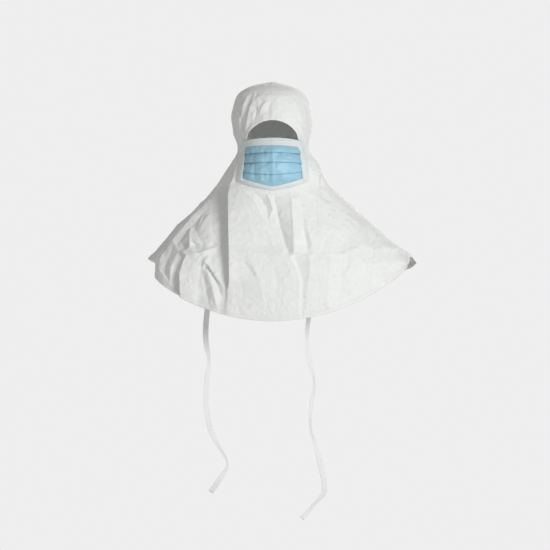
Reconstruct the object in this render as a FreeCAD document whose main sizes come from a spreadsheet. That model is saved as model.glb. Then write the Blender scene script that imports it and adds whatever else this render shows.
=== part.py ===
"""A disposable cleanroom hood: a shoulder-length cape sewn from a non-woven sheet, a pleated face mask
sewn into its face opening, and two tie tapes that hang from the shoulders inside it.

Millimetres. +Z is up, -Y is the front and +X is the wearer's left. The origin is the crown's inside,
where it rests on a head. Each cloth piece is a thin solid between two lofts of the same outline.
"""

import FreeCAD, Part
import math
import os
import Sketcher

Vector = FreeCAD.Vector
doc = FreeCAD.newDocument("hood")

# ---------------------------------------------------------------- driving dimensions
# The cloth's inner outline, from the crown down: height, half width, front and back of each level.
LEVELS = {
    "crown": (0, 12, -10, 14),
    "cap": (-10, 50, -52, 62),
    "temple_top": (-30, 75, -80, 90),
    "temple": (-70, 86, -98, 108),
    "cheek": (-108, 83, -104, 104),
    "neck": (-146, 75, -122, 88),
    "collar": (-190, 100, -122, 92),
    "chin": (-228, 127, -112, 104),
    "shoulder_top": (-280, 178, -122, 122),
    "shoulder": (-340, 241, -136, 136),
    "cape_side": (-400, 290, -146, 146),
    "cape_low": (-460, 300, -151, 151),
    "cape_end": (-520, 304, -154, 154),
}
LEVEL_PARTS = ("height", "half_width", "front", "back")

SIZES = {
    # how far from the inner outline each layer of cloth starts and ends
    "panel_in": 0.0,
    "panel_out": 1.2,
    "tape_in": 1.4,
    "tape_out": 2.0,
    "mask_inner_in": 0.0,
    "mask_inner_out": 0.5,
    "mask_filter_in": 0.7,
    "mask_filter_out": 1.2,
    "mask_outer_in": 1.4,
    "mask_outer_out": 1.9,
    "mask_edge_in": 2.1,
    "mask_edge_out": 2.6,
    "wire_in": 2.1,
    "wire_out": 2.9,
    "band_in": 3.1,
    "band_out": 3.6,
    "elastic_in": -1.2,
    "elastic_out": -0.3,
    "casing_in": -2.0,
    "casing_out": -1.4,
    "patch_in": -1.1,
    "patch_out": -0.3,
    "tie_clear": -2.0,
    # the cape is cut to a circle about a point below the crown
    "hem_radius": 420,
    "hem_centre_z": -93,
    "hem_tape_width": 8,
    # face opening, seen from the front
    "brow_radius": 57.3,
    "brow_centre_z": -137.3,
    "brow_half_width": 56,
    "brow_end_z": -125,
    "brow_tape_width": 7,
    # the mask, seen from the front
    "mask_top_half_width": 66,
    "mask_top_side_z": -128,
    "mask_top_centre_z": -119.5,
    "mask_low_half_width": 75,
    "mask_low_side_z": -213,
    "mask_low_centre_z": -235,
    "mask_band_height": 16,
    "mask_side_tape": 7,
    "mask_low_tape": 6,
    "mask_tape_gap": 0.3,
    "mask_corner_gap": 1,
    "wire_half_length": 46,
    "wire_width": 3.4,
    "wire_drop": 6.5,
    # seams between the bib and the two side panels
    "bib_top_half_width": 75,
    "bib_bend_half_width": 97,
    "bib_bend_z": -240,
    "bib_low_half_width": 106,
    "bib_low_z": -540,
    "seam_tape_width": 9,
    "seam_gap": 0.2,
    # elastic across the back of the neck
    "elastic_z": -150,
    "elastic_width": 6,
    "elastic_half_length": 58,
    "casing_width": 12,
    "casing_half_length": 52,
    # ties
    "tie_x": 106,
    "tie_y": -9,
    "tie_width": 12,
    "tie_thick": 0.8,
    "patch_size": 22,
    "anchor_low_z": -245,
    "anchor_high_z": -180,
}

sheet = doc.addObject("Spreadsheet::Sheet", "Sizes")


def fill_sheet():
    """Writes each size as plain text in column B, with its name beside it and as the cell's alias."""
    cells = dict(SIZES)
    for level, numbers in LEVELS.items():
        for part, number in zip(LEVEL_PARTS, numbers):
            cells[f"{level}_{part}"] = number
    for row, (name, number) in enumerate(cells.items(), start=1):
        sheet.set(f"A{row}", name)
        sheet.set(f"B{row}", str(number))
        sheet.setAlias(f"B{row}", name)
    doc.recompute()


fill_sheet()


def size(name):
    return float(sheet.get(name))


# ---------------------------------------------------------------- building blocks
FAR = 320.0  # beyond the cape on every side, for the tools that cut it
TOP, BOTTOM = 40.0, -600.0
RING_POINTS = 16
RINGS_BETWEEN = 1  # rings added between each two levels, so that the outline curves smoothly
CROWN_SLOPE = (0.15, 1.0)  # the crown's ring hardly widens with an offset, and rises by all of it
ANCHOR_REACH = 20.0  # half the size of the space round a tie's top
ROUNDING = 0.45  # the share of a run that the bends at its ends may take


def ring(half_width, front, back, height, out):
    """A closed curve round the hood at one level, out mm outside the inner outline, from the back."""
    depth, middle = (back - front) / 2 + out, (back + front) / 2
    points = []
    for i in range(RING_POINTS):
        turn = 2 * math.pi * i / RING_POINTS
        x, y = (half_width + out) * math.sin(turn), middle + depth * math.cos(turn)
        points.append(Vector(x, y, height))
    curve = Part.BSplineCurve()
    curve.interpolate(Points=points, PeriodicFlag=True)
    return Part.Wire([curve.toShape()])


def smooth_levels():
    """The outline's levels with others between them, on a smooth curve through four neighbours."""
    rows = [[size(f"{name}_{part}") for part in LEVEL_PARTS] for name in LEVELS]
    found = []
    for i in range(len(rows) - 1):
        before, a, b, after = (rows[min(max(k, 0), len(rows) - 1)] for k in (i - 1, i, i + 1, i + 2))
        for k in range(RINGS_BETWEEN + 1):
            f = k / (RINGS_BETWEEN + 1)
            outer = -f + 2 * f**2 - f**3, f**3 - f**2
            inner = 2 - 5 * f**2 + 3 * f**3, f + 4 * f**2 - 3 * f**3
            weights = outer[0], *inner, outer[1]
            levels = zip(before, a, b, after)
            found.append([sum(w * n for w, n in zip(weights, four)) / 2 for four in levels])
    return found + [rows[-1]]


def with_slopes(levels):
    """Each level, and how much of an offset goes outwards and upwards there, from its slope."""
    found = []
    for i, level in enumerate(levels):
        above, below = levels[max(i - 1, 0)], levels[min(i + 1, len(levels) - 1)]
        wider, lower = below[1] - above[1], above[0] - below[0]
        length = math.hypot(wider, lower)
        sideways, upwards = CROWN_SLOPE if i == 0 else (lower / length, wider / length)
        found.append((level, sideways, upwards))
    return found


OUTLINE = with_slopes(smooth_levels())
lofts = {}


def loft(offset_name):
    """The solid inside the outline moved out by that size, made once for each size."""
    out = size(offset_name)
    if out not in lofts:
        rings = []
        for i, ((height, half_width, front, back), sideways, upwards) in enumerate(OUTLINE):
            wire = doc.addObject("Part::Feature", f"ring_{i}_{offset_name}")
            wire.Shape = ring(half_width, front, back, height + out * upwards, out * sideways)
            rings.append(wire)
        body = doc.addObject("Part::Loft", f"outline_{offset_name}")
        body.Sections, body.Solid, body.Ruled = rings, True, True
        lofts[out] = body
    return lofts[out]


def boolean(kind, name, base, tool):
    made = doc.addObject(kind, name)
    made.Base, made.Tool = base, tool
    return made


def cut(name, base, *tools):
    for i, tool in enumerate(tools):
        base = boolean("Part::Cut", f"{name}_cut_{i}", base, tool)
    return base


def common(name, base, *tools):
    for i, tool in enumerate(tools):
        base = boolean("Part::Common", f"{name}_common_{i}", base, tool)
    return base


def layer(name, inside, outside):
    """A shell of cloth between two offsets of the outline."""
    return cut(f"layer_{name}", loft(outside), loft(inside))


def box(name, low, high):
    """A box between two corners. Each number may be an expression on the sheet."""
    made = doc.addObject("Part::Box", name)
    for axis, side, a, b in zip("xyz", ("Length", "Width", "Height"), low, high):
        made.setExpression(f"Placement.Base.{axis}", f"({a}) * 1 mm")
        made.setExpression(side, f"(({b}) - ({a})) * 1 mm")
    return made


def disc(name, less):
    """The circle that the cape is cut to, less so much, as a cylinder from front to back."""
    made = doc.addObject("Part::Cylinder", name)
    made.setExpression("Radius", f"(Sizes.hem_radius - ({less})) * 1 mm")
    made.Height = 2 * FAR
    made.Placement = FreeCAD.Placement(Vector(0, FAR, 0), FreeCAD.Rotation(Vector(1, 0, 0), 90))
    made.setExpression("Placement.Base.z", "Sizes.hem_centre_z * 1 mm")
    return made


def arc_by(a, middle, b):
    return Part.Arc(Vector(*a, 0), Vector(*middle, 0), Vector(*b, 0))


def line_by(a, b):
    return Part.LineSegment(Vector(*a, 0), Vector(*b, 0))


def front_prism(name, edges):
    """An outline drawn in the front view, in x and z, and pushed through the front half of the hood."""
    sketch = doc.addObject("Sketcher::SketchObject", f"{name}_outline")
    sketch.Placement = FreeCAD.Placement(Vector(0, 0, 0), FreeCAD.Rotation(Vector(1, 0, 0), 90))
    for i, edge in enumerate(edges):
        sketch.addGeometry(edge, False)
        sketch.addConstraint(Sketcher.Constraint("Block", i))
    made = doc.addObject("Part::Extrusion", name)
    made.Base, made.DirMode, made.Solid = sketch, "Custom", True
    made.Dir = Vector(0, -1, 0)
    made.LengthFwd = FAR
    return made


def mirrored(points):
    return [(-x, z) for x, z in points]


def polygon(points):
    return [line_by(points[i], points[(i + 1) % len(points)]) for i in range(len(points))]


# ---------------------------------------------------------------- outlines in the front view
def mask_corners():
    """The mask's top and bottom corners on the wearer's left, and the middles of those two edges."""
    top = (size("mask_top_half_width"), size("mask_top_side_z"))
    low = (size("mask_low_half_width"), size("mask_low_side_z"))
    return top, low, (0, size("mask_top_centre_z")), (0, size("mask_low_centre_z"))


def flip(point):
    return (-point[0], point[1])


def mask_outline():
    top, low, top_middle, low_middle = mask_corners()
    return [
        arc_by(flip(top), top_middle, top),
        line_by(top, low),
        arc_by(low, low_middle, flip(low)),
        line_by(flip(low), flip(top)),
    ]


def face_outline():
    """The whole hole in the hood: the brow's arch above and the mask's outline below."""
    top, low, _, low_middle = mask_corners()
    brow = (size("brow_half_width"), size("brow_end_z"))
    peak = (0, size("brow_centre_z") + size("brow_radius"))
    return [
        arc_by(flip(brow), peak, brow),
        line_by(brow, top),
        line_by(top, low),
        arc_by(low, low_middle, flip(low)),
        line_by(flip(low), flip(top)),
        line_by(flip(top), flip(brow)),
    ]


def arc_band(half_width, side_z, middle_z, reach, height):
    """A band as tall as height, below the arc through the side and middle points, out to reach."""
    rise = middle_z - side_z
    radius = (half_width**2 + rise**2) / (2 * abs(rise))
    centre_z = middle_z - math.copysign(radius, rise)
    end_z = centre_z + math.copysign(math.sqrt(radius**2 - reach**2), rise)
    ends = (-reach, end_z), (reach, end_z), (reach, end_z - height), (-reach, end_z - height)
    return [
        arc_by(ends[0], (0, middle_z), ends[1]),
        line_by(ends[1], ends[2]),
        arc_by(ends[2], (0, middle_z - height), ends[3]),
        line_by(ends[3], ends[0]),
    ]


def mask_top_band():
    half, side_z, middle_z = (size(f"mask_top_{part}") for part in ("half_width", "side_z", "centre_z"))
    return arc_band(half, side_z, middle_z, half - size("mask_tape_gap"), size("mask_band_height"))


def mask_low_band():
    half, side_z, middle_z = (size(f"mask_low_{part}") for part in ("half_width", "side_z", "centre_z"))
    height = size("mask_low_tape")
    reach = half - size("mask_side_tape") - size("mask_corner_gap")
    return arc_band(half, side_z + height, middle_z + height, reach, height - size("mask_tape_gap"))


def mask_side_band():
    """The band down the mask's edge on the wearer's left."""
    top, low, _, _ = mask_corners()
    width, gap = size("mask_side_tape"), size("mask_tape_gap")
    outer = [(top[0] - gap, top[1]), (low[0] - gap, low[1])]
    return polygon([(top[0] - width, top[1]), *outer, (low[0] - width, low[1])])


def brow_ring(width):
    """A band along the brow's arch, of that width, outside the face opening."""
    half, end_z = size("brow_half_width"), size("brow_end_z")
    centre_z, radius = size("brow_centre_z"), size("brow_radius")
    grow = (radius + width) / radius
    inner, outer = (half, end_z), (half * grow, centre_z + (end_z - centre_z) * grow)
    return [
        arc_by(flip(inner), (0, centre_z + radius), inner),
        line_by(inner, outer),
        arc_by(outer, (0, centre_z + radius + width), flip(outer)),
        line_by(flip(outer), flip(inner)),
    ]


def seam_line():
    """The seam between the bib and the wearer's left panel, from the mask's corner to below the hem."""
    return [
        (size("bib_top_half_width"), size("mask_low_side_z")),
        (size("bib_bend_half_width"), size("bib_bend_z")),
        (size("bib_low_half_width"), size("bib_low_z")),
    ]


def seam_strip():
    half = size("seam_tape_width") / 2
    line = seam_line()
    return polygon([(x - half, z) for x, z in line] + [(x + half, z) for x, z in reversed(line)])


def mirror_edges(edges):
    """The same outline on the wearer's other side."""
    turned = []
    for edge in edges:
        a, b = edge.StartPoint, edge.EndPoint
        if isinstance(edge, Part.LineSegment):
            turned.append(line_by((-a.x, a.y), (-b.x, b.y)))
        else:
            middle = edge.value((edge.FirstParameter + edge.LastParameter) / 2)
            turned.append(arc_by((-a.x, a.y), (-middle.x, middle.y), (-b.x, b.y)))
    return turned


# ---------------------------------------------------------------- sub-parts
parts = []


def keep(piece, label):
    """Names a finished sub-part. The label is its file's name."""
    piece.Label = label
    parts.append(piece)
    return piece


whole_disc = disc("hem_disc", "0")
inside_hem_disc = disc("inside_hem_disc", "Sizes.hem_tape_width + Sizes.seam_gap")
face_hole = front_prism("face_hole", face_outline())
mask_prism = front_prism("mask_prism", mask_outline())
bib_prism = front_prism("bib_prism", polygon(seam_line() + mirrored(reversed(seam_line()))))
left_half = box("left_half", (0, -FAR, BOTTOM), (FAR, FAR, TOP))
right_half = box("right_half", (-FAR, -FAR, BOTTOM), (0, FAR, TOP))


def hood_panels():
    """The two sides of the hood and cape, joined over the crown, and the bib below the mask."""
    cloth = common("cloth", layer("panel", "panel_in", "panel_out"), whole_disc)
    open_cloth = cut("open_cloth", cloth, face_hole)
    sides = cut("sides", open_cloth, bib_prism)
    keep(common("left_panel", sides, left_half), "left_hood_panel")
    keep(common("right_panel", sides, right_half), "right_hood_panel")
    keep(common("bib", open_cloth, bib_prism), "front_bib_panel")


def seam_tapes():
    """The tapes sewn over the seams, the brow edge and the hem."""
    tape = common("tape_cloth", layer("tape", "tape_in", "tape_out"), whole_disc)
    inner_tape = common("inner_tape", tape, inside_hem_disc)
    half = "Sizes.seam_tape_width / 2"
    low_front = "Sizes.brow_centre_z + Sizes.brow_radius + Sizes.brow_tape_width + Sizes.seam_gap"
    back = box("seam_back", (f"-{half}", f"-{half}", BOTTOM), (half, FAR, TOP))
    front = box("seam_front", (f"-{half}", -FAR, low_front), (half, 0, TOP))
    both = doc.addObject("Part::Fuse", "seam_both")
    both.Base, both.Tool = back, front
    keep(common("crown_tape", inner_tape, both), "crown_seam_tape")
    brow_prism = front_prism("brow_prism", brow_ring(size("brow_tape_width")))
    keep(common("brow_tape", inner_tape, brow_prism), "brow_edge_tape")
    keep(cut("hem_tape", tape, disc("hem_inner_disc", "Sizes.hem_tape_width")), "hem_edge_tape")
    for side, edges in (("left", seam_strip()), ("right", mirror_edges(seam_strip()))):
        strip = common(f"{side}_seam", inner_tape, front_prism(f"{side}_seam_prism", edges))
        keep(cut(f"{side}_seam_trim", strip, face_hole), f"{side}_bib_seam_tape")


def mask():
    """Three layers of the mask, its edge tapes, and the wire over the nose under the top band."""
    for label in ("inner", "filter", "outer"):
        cloth = layer(f"mask_{label}", f"mask_{label}_in", f"mask_{label}_out")
        keep(common(f"mask_{label}", cloth, mask_prism), f"mask_{label}_layer")
    edge = layer("mask_edge", "mask_edge_in", "mask_edge_out")
    band = layer("mask_band", "band_in", "band_out")
    keep(common("top_band", band, front_prism("top_band_prism", mask_top_band())), "mask_top_band")
    low_prism = front_prism("low_tape_prism", mask_low_band())
    keep(common("low_tape", edge, low_prism), "mask_bottom_edge_tape")
    for side, edges in (("left", mask_side_band()), ("right", mirror_edges(mask_side_band()))):
        strip = common(f"{side}_edge", edge, front_prism(f"{side}_edge_prism", edges))
        keep(strip, f"mask_{side}_edge_tape")
    drop, width, half = "Sizes.wire_drop", "Sizes.wire_width", "Sizes.wire_half_length"
    top = f"Sizes.mask_top_centre_z - {drop}"
    slot = box("wire_slot", (f"-{half}", -FAR, f"{top} - {width}"), (half, 0, top))
    keep(common("nose_wire", layer("wire", "wire_in", "wire_out"), slot), "mask_nose_wire")


def neck_elastic():
    """An elastic across the nape, and the casing that holds it to the inside of the hood."""
    for label in ("elastic", "casing"):
        half = f"Sizes.{label}_half_length"
        low, high = (f"Sizes.elastic_z {sign} Sizes.{label}_width / 2" for sign in "-+")
        slot = box(f"{label}_slot", (f"-{half}", 0, low), (half, FAR, high))
        cloth = layer(label, f"{label}_in", f"{label}_out")
        keep(common(f"nape_{label}", cloth, slot), f"nape_{label}")


# The ties' routes from the shoulder down: x, y forward or back of the tie's own anchor, and z.
LEFT_TIE = [(106, 0, -204), (105, 2, -256), (100, 4, -309), (93, 5, -362), (87, 3, -414), (83, 0, -464),
            (77, -3, -512), (73, -5, -558), (80, -3, -604), (93, 1, -646), (83, 4, -694), (80, 4, -744),
            (95, 1, -789), (105, -3, -829), (110, -4, -853), (112, -2, -869), (112, 1, -884),
            (102, 3, -896), (83, 1, -918), (63, -4, -940)]
RIGHT_TIE = [(-106, 0, -204), (-108, -2, -256), (-114, -4, -308), (-123, -4, -360), (-131, -2, -411),
             (-137, 1, -461), (-143, 4, -509), (-145, 5, -557), (-135, 3, -601), (-142, -1, -645),
             (-144, -4, -691), (-138, -4, -736), (-122, -1, -777), (-105, 2, -801), (-98, 3, -815),
             (-97, 1, -830), (-105, -2, -843), (-119, -2, -863), (-133, 2, -883)]


def smooth_route(points):
    """Straight runs joined by tangent arcs that take up a share of the shorter run beside them.
    Returns the wire, its radii and its length."""
    edges, radii, last = [], [], points[0]
    for before, at, after in zip(points, points[1:], points[2:]):
        into, out = at - before, after - at
        turn = into.getAngle(out)
        reach = ROUNDING * min(into.Length, out.Length)
        start = at - Vector(into).normalize() * reach
        end = at + Vector(out).normalize() * reach
        radius = reach / math.tan(turn / 2)
        inward = (Vector(out).normalize() - Vector(into).normalize()).normalize()
        middle = at + inward * (radius / math.cos(turn / 2) - radius)
        edges += [Part.LineSegment(last, start).toShape(), Part.Arc(start, middle, end).toShape()]
        radii.append(radius)
        last = end
    edges.append(Part.LineSegment(last, points[-1]).toShape())
    wire = Part.Wire(edges)
    return wire, radii, wire.Length


def tie(side, sign, route):
    """A flat tape that hangs inside the cape and out below its hem, and the patch that sews it in."""
    x, y = sign * size("tie_x"), size("tie_y")
    path = doc.addObject("Part::Feature", f"{side}_tie_path")
    points = [Vector(at_x, y + aside, at_z) for at_x, aside, at_z in route]
    path.Shape, radii, length = smooth_route(points)
    profile = doc.addObject("Part::Feature", f"{side}_tie_profile")
    across, through, top = size("tie_width") / 2, size("tie_thick") / 2, route[0][2]
    corners = ((-across, -through), (across, -through), (across, through), (-across, through))
    loop = [Vector(x + a, y + b, top) for a, b in corners]
    profile.Shape = Part.makePolygon(loop + loop[:1])
    tape = doc.addObject("Part::Sweep", f"{side}_tie_sweep")
    tape.Sections, tape.Spine, tape.Solid, tape.Frenet = [profile], (path, []), True, False
    low_z, high_z = "Sizes.anchor_low_z", "Sizes.anchor_high_z"

    def column(name, half):
        """The space round the tie's top, that far each way from its middle line."""
        low = (f"{x} - {half}", f"{y} - {half}", low_z)
        return box(name, low, (f"{x} + {half}", f"{y} + {half}", high_z))

    above = cut(f"{side}_above_tie", column(f"{side}_around_top", ANCHOR_REACH), loft("tie_clear"))
    keep(cut(f"{side}_tie_trim", tape, above), f"{side}_tie")
    square = column(f"{side}_patch_column", "Sizes.patch_size / 2")
    cloth = layer(f"{side}_patch", "patch_in", "patch_out")
    keep(common(f"{side}_patch", cloth, square), f"{side}_tie_patch")
    return tape, radii, length


hood_panels()
seam_tapes()
mask()
neck_elastic()
ties = [tie("left", 1, LEFT_TIE), tie("right", -1, RIGHT_TIE)]
doc.recompute()

# ---------------------------------------------------------------- checks and files
for thing in doc.Objects:
    if "Invalid" in thing.State or "Error" in thing.State:
        raise RuntimeError(f"{thing.Name} ({thing.Label}) is {thing.State}")
for tape, radii, length in ties:
    solid = size("tie_width") * size("tie_thick") * length
    print(tape.Label, "length", round(length, 1), "mm, radii", [round(r) for r in radii],
          "volume over section times length", round(tape.Shape.Volume / solid, 4))
os.makedirs("parts", exist_ok=True)
for piece in parts:
    shape = piece.Shape
    if shape.isNull() or not shape.isValid() or not shape.Solids:
        raise RuntimeError(f"{piece.Label} has no valid solid")
    shape.exportStep(f"parts/{piece.Label}.step")
    print(piece.Label, len(shape.Solids), "solids", round(shape.Volume), "mm3")
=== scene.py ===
"""The looks of a disposable hood: crumpled non-woven cloth, a pleated face mask and two twisted tie tapes.

Shapes are worked out in millimetres in the CAD model's frame and turned into metres as each mesh is made.
+Z is up, -Y is the front, +X is the wearer's left, and the origin is the inside of the crown.
"""

import math

import bmesh
import bpy
import numpy as np
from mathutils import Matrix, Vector, geometry


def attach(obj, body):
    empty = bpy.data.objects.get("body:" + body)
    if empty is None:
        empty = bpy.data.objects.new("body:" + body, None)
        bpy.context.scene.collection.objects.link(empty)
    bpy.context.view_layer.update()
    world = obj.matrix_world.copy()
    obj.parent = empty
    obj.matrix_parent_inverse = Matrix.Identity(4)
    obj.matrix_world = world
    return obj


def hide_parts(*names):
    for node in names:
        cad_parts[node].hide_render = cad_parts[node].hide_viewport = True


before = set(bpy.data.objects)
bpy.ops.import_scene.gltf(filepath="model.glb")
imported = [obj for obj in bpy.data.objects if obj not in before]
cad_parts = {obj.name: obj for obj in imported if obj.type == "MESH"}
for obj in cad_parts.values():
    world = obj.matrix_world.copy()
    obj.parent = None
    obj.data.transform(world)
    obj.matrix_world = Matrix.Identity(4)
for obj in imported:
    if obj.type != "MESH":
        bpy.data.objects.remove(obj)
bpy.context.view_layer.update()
MM = 0.001
HOOD = "hood"

# ================================================================ the outline that the hood is sewn to
# height, half width, front and back of the cloth at each level, from the crown down
LEVELS = np.array([
    (0, 12, -10, 14),
    (-10, 50, -52, 62),
    (-30, 75, -80, 90),
    (-70, 86, -98, 108),
    (-108, 83, -104, 104),
    (-146, 75, -122, 88),
    (-190, 100, -122, 92),
    (-228, 127, -112, 104),
    (-280, 178, -122, 122),
    (-340, 241, -136, 136),
    (-400, 290, -146, 146),
    (-460, 300, -151, 151),
    (-520, 304, -154, 154),
], float)
CAP_RISE = 1.5  # how far the crown's middle stands above its first level
HEM_RADIUS, HEM_CENTRE_Z = 420, -93  # the hem is one arc in the front view


def unit(vectors):
    return vectors / np.linalg.norm(vectors, axis=-1, keepdims=True)


def run_along(line):
    """How far along a line of points each of them is."""
    return np.concatenate([[0], np.cumsum(np.linalg.norm(np.diff(line, axis=0), axis=1))])


def read_at(at, run, values):
    """A line's values at distances along it, where run says how far along each row of values is."""
    return np.stack([np.interp(at, run, column) for column in values.T], -1)


def outline(u):
    """Height, half width, front and back at level number u, on a smooth curve through the levels."""
    u = np.clip(u, 0, len(LEVELS) - 1.0001)
    i = np.floor(u).astype(int)
    f = (u - i)[..., None]
    before, a, b, after = (LEVELS[np.clip(i + k, 0, len(LEVELS) - 1)] for k in (-1, 0, 1, 2))
    weights = (-f + 2 * f**2 - f**3, 2 - 5 * f**2 + 3 * f**3, f + 4 * f**2 - 3 * f**3, f**3 - f**2)
    row = sum(w * n for w, n in zip(weights, (before, a, b, after))) / 2
    return row[..., 0], row[..., 1], row[..., 2], row[..., 3]


DENSE_U = np.linspace(0, len(LEVELS) - 1.001, 1500)
DENSE_Z = outline(DENSE_U)[0]


def level_at(z):
    return np.interp(-np.asarray(z, float), -DENSE_Z, DENSE_U)


def rest(turn, u):
    """The undisturbed cloth's point at turn round the hood, from the back, and at level number u."""
    z, half, front, back = outline(u)
    cap = np.clip(u + 1, 0, 1)
    x = cap * half * np.sin(turn)
    y = (front + back) / 2 + cap * (back - front) / 2 * np.cos(turn)
    return np.stack([x, y, z + CAP_RISE * (1 - cap**2)], -1)


def find(points):
    """The turn and level number of points that lie on the undisturbed cloth."""
    u = level_at(points[..., 2])
    _, half, front, back = outline(u)
    across, along = points[..., 0] / half, (points[..., 1] - (front + back) / 2) / ((back - front) / 2)
    turn = np.arctan2(across, along)
    on_cap = points[..., 2] > 0
    return turn, np.where(on_cap, np.hypot(across, along) - 1, u)


def front_point(x, z):
    """The point of the undisturbed cloth that is seen at x and z from the front."""
    x, z = np.asarray(x, float), np.asarray(z, float)
    _, half, front, back = outline(level_at(z))
    y = (front + back) / 2 - (back - front) / 2 * np.sqrt(np.clip(1 - (x / half)**2, 0, 1))
    return np.stack([x, y, z], -1)


def back_point(x, z):
    """The point of the undisturbed cloth at x and z on the back."""
    point = front_point(x, z)
    _, _, front, back = outline(level_at(z))
    point[:, 1] = front + back - point[:, 1]
    return point


def normals(turn, u):
    """The outward direction of the undisturbed cloth."""
    step = 0.002
    around = rest(turn + step, u) - rest(turn - step, u)
    down = rest(turn, u + step) - rest(turn, u - step)
    n = np.cross(around, down)
    n[np.linalg.norm(n, axis=-1) < 1e-9] = (0, 0, 1)
    return np.where((u < -0.9)[..., None], (0, 0, 1.0), unit(n))


def hem_height(x):
    return HEM_CENTRE_Z - np.sqrt(HEM_RADIUS**2 - x**2)


def smooth(x, a, b):
    """0 at a and 1 at b, with no corner at either."""
    t = np.clip((x - a) / (b - a), 0, 1)
    return t * t * (3 - 2 * t)


# ================================================================ the face opening and mask, from the front
BROW_CENTRE_Z, BROW_RADIUS = -137.3, 57.3
BROW_HALF, BROW_END_Z = 56, -125
BROW_FLATNESS = 0.935
MASK_TOP = (62, -128, -122.5)  # half width, height at the sides, height in the middle
MASK_LOW = (75, -213, -232)


def arc_height(x, half, side_z, middle_z):
    """The height at x of the arc through (-half, side_z), (0, middle_z) and (half, side_z)."""
    rise = middle_z - side_z
    radius = (half**2 + rise**2) / (2 * abs(rise))
    return middle_z - math.copysign(1, rise) * (radius - np.sqrt(radius**2 - x**2))


def mask_half_width(z):
    return np.interp(-np.asarray(z, float), (-MASK_TOP[1], -MASK_LOW[1]), (MASK_TOP[0], MASK_LOW[0]))


def away_from_mask(x, z):
    """0 on the mask and near it, and 1 from 16 mm away, so that no fold disturbs the mask's seam."""
    out_side = np.maximum(np.abs(x) - mask_half_width(z), 0)
    inside = np.clip(x, -MASK_LOW[0], MASK_LOW[0])
    above = np.maximum(z - MASK_TOP[1] - 4, 0)
    below = np.maximum(arc_height(inside, *MASK_LOW) - z, 0)
    return smooth(np.hypot(out_side, above + below), 2, 16)


def brow_arch(count, distance=0.0):
    """The x and z of points along the brow, from the wearer's right, or of points that distance above it."""
    start = math.atan2(BROW_END_Z - BROW_CENTRE_Z, -BROW_HALF)
    angles = np.linspace(start, math.pi - start, count)
    radius = BROW_RADIUS + distance
    return radius * np.cos(angles), BROW_CENTRE_Z + BROW_FLATNESS * radius * np.sin(angles)


def face_outline():
    """The face opening's edge, clockwise from the wearer's right end of the brow."""
    brow = [(float(x), float(z)) for x, z in zip(*brow_arch(25))]
    low = [(x, float(arc_height(x, *MASK_LOW))) for x in np.linspace(MASK_LOW[0], -MASK_LOW[0], 25)]
    return brow + [MASK_TOP[:2]] + low + [(-MASK_TOP[0], MASK_TOP[1])]


# the seam on the wearer's left of the bib, from the mask's corner to below the hem
BIB_SEAM = [(75, -213), (97, -240), (106, -540)]


def inside(outline_points, x, z):
    """Whether each point lies inside the closed outline."""
    found = np.zeros(len(x), bool)
    for (ax, az), (bx, bz) in zip(outline_points, outline_points[1:] + outline_points[:1]):
        crosses = (az > z) != (bz > z)
        if az != bz:
            found ^= crosses & (x < (bx - ax) * (z - az) / (bz - az) + ax)
    return found


# ================================================================ folds and creases
TIE_X, TIE_SHIFT_Y, TIE_TOP_Z = 106, -9, -204  # where the wearer's left tie is sewn to the inside of the hood
TIE_REACH = 26  # how far round that the cloth is held still
# The deep fold beside the bib on the wearer's right: height, x, how far its edge stands out, how deep it is
DEEP_FOLD = np.array([
    (-140, -72, 0, 0),
    (-175, -76, 3, 3),
    (-205, -81, 7, 11),
    (-222, -86, 9, 17),
    (-252, -89, 11, 21),
    (-332, -90.5, 12, 22),
    (-372, -90, 12, 18),
    (-420, -90, 9, 11),
    (-447, -93, 3, 3),
    (-520, -95, 1, 0),
], float)
WALL = 13  # how much cloth turns back behind the fold's edge
FULL_FOLD = 14  # how far the edge stands out where the cloth is moved sideways in full
FOLD_PULL = 3  # how far the edge is moved sideways
NAPE_Z = -150  # the height of the elastic at the nape
GATHER_HEIGHT, GATHER_WIDTH = 2.6, 7.5  # of half of each gather that it makes
FLUTE_HEIGHTS = 7, 3  # of the wide and narrow flutes round the back of the hem
SWELL_HEIGHT = 1.6  # of the slow swells all over the cloth
# the crumples: height, how far they are drawn out downwards, size and seed
CRUMPLES = ((2.4, 0.55, 44, 19), (1.3, 0.55, 21, 23), (0.55, 1, 10, 29))
# depth below the crown, and how far the cloth there hangs to the wearer's left of an even shape, on each side
RIGHT_LEAN = ((0, -2), (60, 1), (95, 1), (120, 0), (172, 4), (200, 4), (250, 6), (280, 4), (314, 9),
              (350, 15), (366, 17), (388, 14), (410, 15), (520, 15))
LEFT_LEAN = ((0, -2), (60, -4), (95, -3), (120, -1), (150, 5), (172, 12), (200, 8), (228, 5), (262, 9),
             (290, 11), (314, 13), (340, 15), (353, 22), (359, 28), (368, 31), (388, 31), (398, 15),
             (406, 4), (440, 5), (520, 8))
# how far the hem rises at the wearer's left tip, where the cape is seen to be open: degrees round, and rise
TIP_RISE = ((82, 0), (86, 10), (90, 38), (95, 38), (104, 0))


def both_sides(line):
    """A line that ends on the middle, with its mirror image."""
    return line + [(-x, z, height) for x, z, height in reversed(line[:-1])]


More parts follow.
